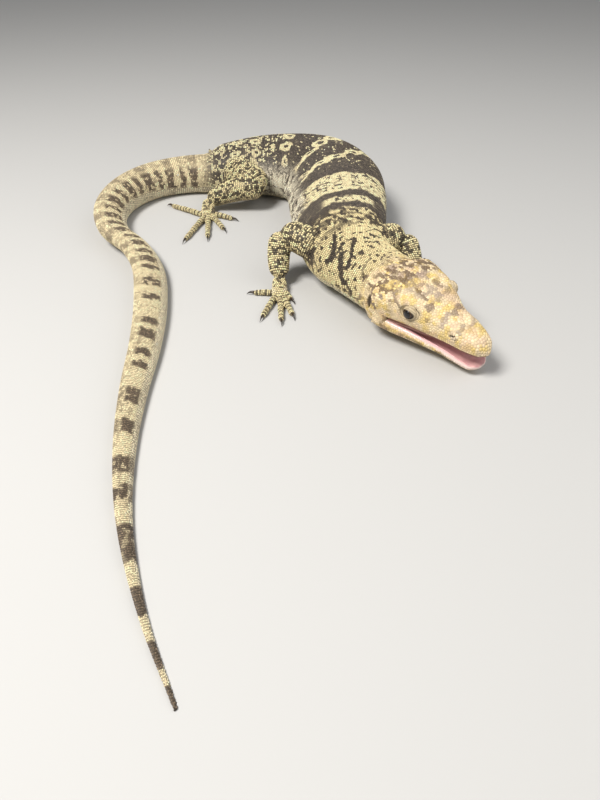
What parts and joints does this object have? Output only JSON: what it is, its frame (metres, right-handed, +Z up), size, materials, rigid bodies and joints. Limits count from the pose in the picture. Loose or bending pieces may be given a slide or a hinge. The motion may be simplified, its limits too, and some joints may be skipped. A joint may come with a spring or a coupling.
{
  "type": "water monitor lizard, life-size still figure",
  "caption": "Young yellow-headed water monitor lying in a relaxed curve, head level, mouth a little open, toes spread and tail looped on the floor.",
  "frame": {"origin": "bottom centre of the bounding box, on the floor the animal lies on", "axes": "+Y runs from the tail tip towards the rump, +X to the side the head points to, +Z up"},
  "size_m": [0.327, 0.6614, 0.0578],
  "materials": {
    "skin": "dry scaly skin, pale and dark bands",
    "skin_head": "scaly skin, yellow with brown-grey blotches",
    "skin_tail": "ringed scales, cream with dark bands",
    "skin_limb": "dark scales with yellow dots",
    "mouth": "pale lips, moist pink mouth lining",
    "eye": "wet dark brown"
  },
  "bodies": {
    "root": {"neck": "skin", "chest": "skin", "belly": "skin", "loin": "skin", "pelvis": "skin", "tail_1": "skin_tail", "tail_2": "skin_tail", "tail_3": "skin_tail", "tail_4": "skin_tail", "tail_5": "skin_tail", "tail_6": "skin_tail", "head": "skin_head", "lower_jaw": "mouth", "eye_left": "eye", "eye_right": "eye", "upper_arm_right": "skin_limb", "forearm_right": "skin_limb", "hand_right": "skin_limb", "thigh_right": "skin_limb", "shank_right": "skin_limb", "foot_right": "skin_limb", "upper_arm_left": "skin_limb", "forearm_left": "skin_limb", "hand_left": "skin_limb", "thigh_left": "skin_limb", "shank_left": "skin_limb", "foot_left": "skin_limb"}
  },
  "joints": []
}
